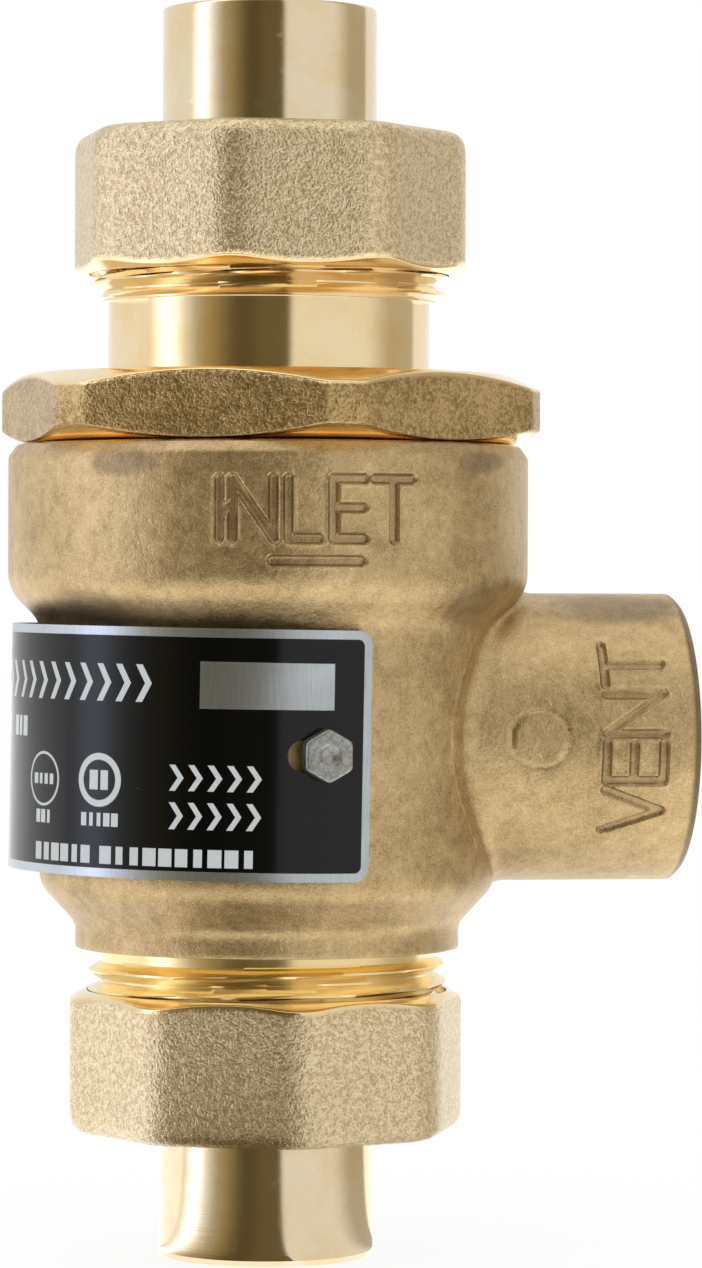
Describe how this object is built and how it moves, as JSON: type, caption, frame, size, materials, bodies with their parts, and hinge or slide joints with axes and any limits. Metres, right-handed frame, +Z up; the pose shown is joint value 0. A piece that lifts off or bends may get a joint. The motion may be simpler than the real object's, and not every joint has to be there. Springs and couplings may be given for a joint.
{
  "type": "dual check valve with intermediate vent",
  "caption": "Brass dual check valve with union solder ends, a screwed bonnet, two spring-loaded checks and a side vent between them.",
  "frame": {"origin": "centre of the outlet socket's mouth, at the lower end of the valve", "axes": "+Z up the flow axis towards the inlet, +X out of the vent port"},
  "size_m": [0.0786, 0.064, 0.1454],
  "materials": {
    "cast_brass": "bead-blasted casting, stained in places",
    "forged_brass": "forged hexagon, turned neck and thread",
    "nut_brass": "sand-textured forging",
    "turned_brass": "turned and bright",
    "inner_brass": "machined",
    "black_rubber": "moulded, matt",
    "gasket_rubber": "flat fibre-filled rubber",
    "stainless_steel": "plain stainless",
    "plate_aluminium": "gloss black print on satin aluminium"
  },
  "bodies": {
    "valve": {"valve_body": "cast_brass", "inlet_bonnet": "forged_brass", "inlet_gasket": "gasket_rubber", "outlet_gasket": "gasket_rubber", "bonnet_o_ring": "black_rubber", "inlet_strainer": "stainless_steel", "diaphragm": "black_rubber", "slip_ring": "inner_brass", "primary_guide": "inner_brass", "primary_spring": "stainless_steel", "secondary_seat": "inner_brass", "secondary_seat_o_ring": "black_rubber", "secondary_guide": "inner_brass", "secondary_spring": "stainless_steel", "retaining_ring": "stainless_steel", "nameplate": "plate_aluminium", "nameplate_screws": "stainless_steel"},
    "vent_seal": {"vent_seal_ring": "black_rubber"},
    "primary_check": {"primary_disc": "black_rubber", "primary_disc_holder": "inner_brass", "primary_disc_screw": "stainless_steel"},
    "secondary_check": {"secondary_disc": "black_rubber", "secondary_disc_holder": "inner_brass", "secondary_disc_screw": "stainless_steel"},
    "inlet_tail": {"inlet_tailpiece": "turned_brass"},
    "inlet_nut": {"inlet_union_nut": "nut_brass"},
    "outlet_tail": {"outlet_tailpiece": "turned_brass"},
    "outlet_nut": {"outlet_union_nut": "nut_brass"}
  },
  "joints": [
    {"name": "vent_seal_slide", "type": "slide", "parent": "valve", "child": "vent_seal", "axis": [0, 0, -1], "range_m": [0, 0.0012], "stiffness_N_per_m": 1500, "springref_m": -0.001, "deforming": ["diaphragm"]},
    {"name": "primary_check_slide", "type": "slide", "parent": "vent_seal", "child": "primary_check", "axis": [0, 0, -1], "range_m": [0, 0.0045], "stiffness_N_per_m": 300, "springref_m": -0.004, "deforming": ["primary_spring"]},
    {"name": "secondary_check_slide", "type": "slide", "parent": "valve", "child": "secondary_check", "axis": [0, 0, -1], "range_m": [0, 0.004], "stiffness_N_per_m": 300, "springref_m": -0.004, "deforming": ["secondary_spring"]},
    {"name": "inlet_tail_slide", "type": "slide", "parent": "valve", "child": "inlet_tail", "axis": [0, 0, 1], "range_m": [0, 0.00924]},
    {"name": "inlet_nut_turn", "type": "hinge", "parent": "inlet_tail", "child": "inlet_nut", "pos_m": [0, 0, 0.12265], "axis": [0, 0, 1], "range_deg": [0, 1440]},
    {"name": "outlet_tail_slide", "type": "slide", "parent": "valve", "child": "outlet_tail", "axis": [0, 0, -1], "range_m": [0, 0.00924]},
    {"name": "outlet_nut_turn", "type": "hinge", "parent": "outlet_tail", "child": "outlet_nut", "pos_m": [0, 0, 0.02275], "axis": [0, 0, -1], "range_deg": [0, 1440]}
  ],
  "couplings": [
    {"joint": "inlet_tail_slide", "follows": "inlet_nut_turn", "m_per_rad": 0.00036749},
    {"joint": "outlet_tail_slide", "follows": "outlet_nut_turn", "m_per_rad": 0.00036749}
  ]
}
